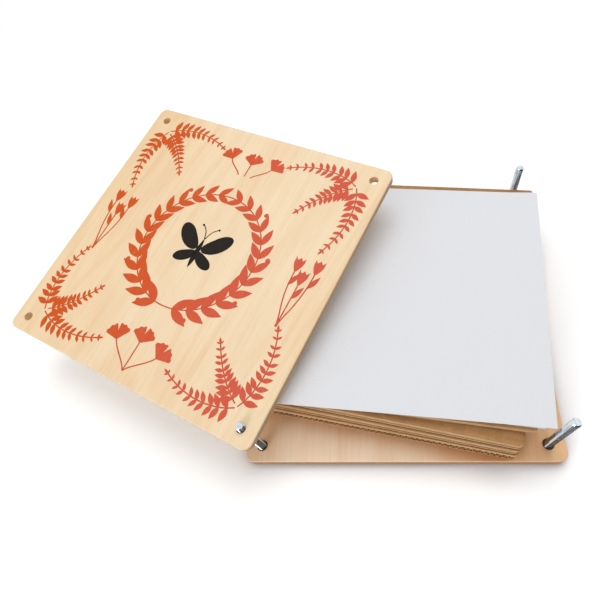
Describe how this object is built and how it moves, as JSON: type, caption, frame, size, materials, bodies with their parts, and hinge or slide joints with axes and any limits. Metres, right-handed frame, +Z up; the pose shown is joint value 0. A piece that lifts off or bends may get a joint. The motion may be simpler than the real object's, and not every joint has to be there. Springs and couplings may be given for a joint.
{
  "type": "flower press",
  "caption": "Opened flower press: two square plywood boards, a pile of fluted cards and blotting sheets between corner bolts, wing nuts, and the cover swung aside and leaning.",
  "frame": {"origin": "middle of the base board's underside, where it rests on the table", "axes": "+Z up out of the base board, -Y towards the front edge of the base board, +X to the right; the cover is swung to -X"},
  "size_m": [0.3294, 0.237, 0.0673],
  "materials": {
    "base_plywood": "sanded birch plywood, clear matt lacquer",
    "cover_plywood": "sanded birch plywood, clear matt lacquer, with a printed face",
    "bolt_steel": "bright zinc-plated steel, machine thread",
    "wing_nut_steel": "bright zinc-plated pressed steel",
    "kraft_card": "brown kraft corrugated card",
    "blotting_paper": "matt white blotting paper"
  },
  "bodies": {
    "base": {"base_board": "base_plywood", "bolt_front_right": "bolt_steel", "bolt_back_right": "bolt_steel"},
    "swivel_bolt": {"bolt_front_left": "bolt_steel"},
    "cover": {"cover_board": "cover_plywood"},
    "prop_bolt": {"bolt_back_left": "bolt_steel"},
    "prop_nut": {"wing_nut_back_left": "wing_nut_steel"},
    "loose_nut_left": {"wing_nut_front_left": "wing_nut_steel"},
    "loose_nut_middle": {"wing_nut_back_right": "wing_nut_steel"},
    "loose_nut_right": {"wing_nut_front_right": "wing_nut_steel"},
    "card_pile": {"corrugated_card_1": "kraft_card", "corrugated_card_2": "kraft_card", "corrugated_card_3": "kraft_card", "corrugated_card_4": "kraft_card", "corrugated_card_5": "kraft_card", "corrugated_card_6": "kraft_card", "blotting_sheets_lower": "blotting_paper", "blotting_sheets_middle": "blotting_paper"},
    "upper_card": {"corrugated_card_7": "kraft_card"},
    "upper_sheets": {"blotting_sheets_upper": "blotting_paper"},
    "top_sheet": {"blotting_sheet_top": "blotting_paper"}
  },
  "joints": [
    {"name": "cover_swivel", "type": "hinge", "parent": "base", "child": "swivel_bolt", "pos_m": [-0.0805, -0.0805, 0.03], "axis": [0, 0, 1], "range_deg": [0, 90]},
    {"name": "cover_lift", "type": "slide", "parent": "swivel_bolt", "child": "cover", "axis": [0, 0, 1], "range_m": [0, 0.06]},
    {"name": "wing_nut_turn", "type": "hinge", "parent": "base", "child": "prop_bolt", "pos_m": [-0.0805, 0.0805, 0.03], "axis": [0, 0, 1], "range_deg": [-2700, 0]},
    {"name": "wing_nut_travel", "type": "slide", "parent": "prop_bolt", "child": "prop_nut", "axis": [0, 0, 1], "range_m": [-0.00602, 0]},
    {"name": "loose_nut_left_lift", "type": "slide", "parent": "base", "child": "loose_nut_left", "axis": [0, 0, 1], "range_m": [0, 0.04]},
    {"name": "loose_nut_middle_lift", "type": "slide", "parent": "base", "child": "loose_nut_middle", "axis": [0, 0, 1], "range_m": [0, 0.04]},
    {"name": "loose_nut_right_lift", "type": "slide", "parent": "base", "child": "loose_nut_right", "axis": [0, 0, 1], "range_m": [0, 0.04]},
    {"name": "card_pile_lift", "type": "slide", "parent": "base", "child": "card_pile", "axis": [0, 0, 1], "range_m": [0, 0.002]},
    {"name": "upper_card_lift", "type": "slide", "parent": "card_pile", "child": "upper_card", "axis": [0, 0, 1], "range_m": [0, 0.002]},
    {"name": "upper_sheets_lift", "type": "slide", "parent": "upper_card", "child": "upper_sheets", "axis": [0, 0, 1], "range_m": [0, 0.0015]},
    {"name": "top_sheet_lift", "type": "slide", "parent": "upper_sheets", "child": "top_sheet", "axis": [0, 0, 1], "range_m": [0, 0.002]}
  ],
  "couplings": [
    {"joint": "wing_nut_travel", "follows": "wing_nut_turn", "m_per_rad": 0.00012732}
  ]
}
